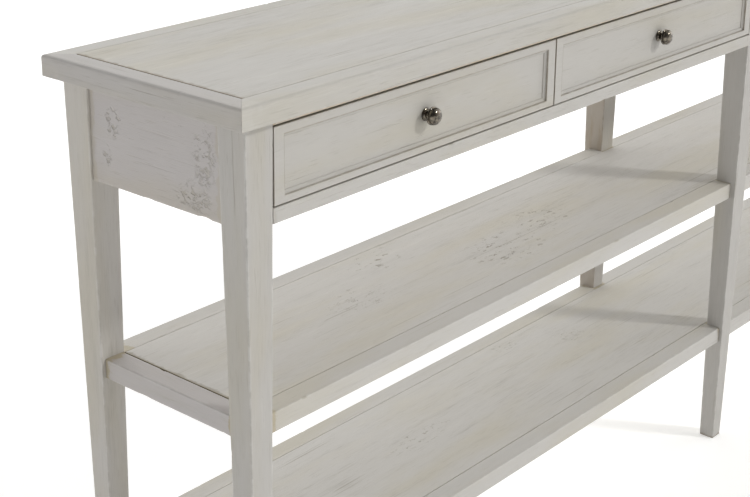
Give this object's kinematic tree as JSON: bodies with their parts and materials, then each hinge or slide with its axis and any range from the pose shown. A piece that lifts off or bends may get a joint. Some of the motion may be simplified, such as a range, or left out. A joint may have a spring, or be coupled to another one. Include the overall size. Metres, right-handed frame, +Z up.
{
  "type": "console table",
  "caption": "Long narrow console table with a framed top on tapered legs, inset panelled drawers under the top and open framed shelves below.",
  "frame": {"origin": "on the floor under the middle of the table", "axes": "+X along the table's length, to the right seen from the drawers; +Y to the back; +Z up"},
  "size_m": [2.2, 0.318, 0.816],
  "materials": {
    "board_wood": "limed, brushed wood, matt, top and shelves",
    "frame_wood": "limed, brushed wood, matt, legs, aprons and rails",
    "drawer_front_wood": "limed, brushed wood, matt, drawer fronts",
    "drawer_box_wood": "clear-sealed pale wood, drawer boxes and runners",
    "knob_bronze": "dark antique bronze, worn bright on the high spots"
  },
  "bodies": {
    "frame": {"top_panel": "board_wood", "top_rail_front": "board_wood", "top_rail_back": "board_wood", "top_rail_left": "board_wood", "top_rail_right": "board_wood", "apron_left": "frame_wood", "apron_right": "frame_wood", "apron_back": "frame_wood", "lower_rail_left": "frame_wood", "lower_rail_right": "frame_wood", "upper_rail_left": "frame_wood", "upper_rail_right": "frame_wood", "runner_board_left": "drawer_box_wood", "runner_board_right": "drawer_box_wood", "divider_left": "drawer_box_wood", "divider_right": "drawer_box_wood", "upper_shelf_panel": "board_wood", "upper_shelf_end_left": "board_wood", "upper_shelf_end_right": "board_wood", "upper_shelf_front_left": "board_wood", "upper_shelf_front_right": "board_wood", "upper_shelf_back_left": "board_wood", "upper_shelf_back_right": "board_wood", "lower_shelf_panel": "board_wood", "lower_shelf_end_left": "board_wood", "lower_shelf_end_right": "board_wood", "lower_shelf_front_left": "board_wood", "lower_shelf_front_right": "board_wood", "lower_shelf_back_left": "board_wood", "lower_shelf_back_right": "board_wood", "leg_front_left": "frame_wood", "leg_front_middle": "frame_wood", "leg_front_right": "frame_wood", "leg_back_left": "frame_wood", "leg_back_middle": "frame_wood", "leg_back_right": "frame_wood"},
    "drawer_1": {"drawer_1_front": "drawer_front_wood", "drawer_1_side_left": "drawer_box_wood", "drawer_1_side_right": "drawer_box_wood", "drawer_1_back": "drawer_box_wood", "drawer_1_bottom": "drawer_box_wood", "drawer_1_knob": "knob_bronze"},
    "drawer_2": {"drawer_2_front": "drawer_front_wood", "drawer_2_side_left": "drawer_box_wood", "drawer_2_side_right": "drawer_box_wood", "drawer_2_back": "drawer_box_wood", "drawer_2_bottom": "drawer_box_wood", "drawer_2_knob": "knob_bronze"},
    "drawer_3": {"drawer_3_front": "drawer_front_wood", "drawer_3_side_left": "drawer_box_wood", "drawer_3_side_right": "drawer_box_wood", "drawer_3_back": "drawer_box_wood", "drawer_3_bottom": "drawer_box_wood", "drawer_3_knob": "knob_bronze"},
    "drawer_4": {"drawer_4_front": "drawer_front_wood", "drawer_4_side_left": "drawer_box_wood", "drawer_4_side_right": "drawer_box_wood", "drawer_4_back": "drawer_box_wood", "drawer_4_bottom": "drawer_box_wood", "drawer_4_knob": "knob_bronze"}
  },
  "joints": [
    {"name": "drawer_1_slide", "type": "slide", "parent": "frame", "child": "drawer_1", "axis": [0, -1, 0], "range_m": [0, 0.18]},
    {"name": "drawer_2_slide", "type": "slide", "parent": "frame", "child": "drawer_2", "axis": [0, -1, 0], "range_m": [0, 0.18]},
    {"name": "drawer_3_slide", "type": "slide", "parent": "frame", "child": "drawer_3", "axis": [0, -1, 0], "range_m": [0, 0.18]},
    {"name": "drawer_4_slide", "type": "slide", "parent": "frame", "child": "drawer_4", "axis": [0, -1, 0], "range_m": [0, 0.18]}
  ]
}
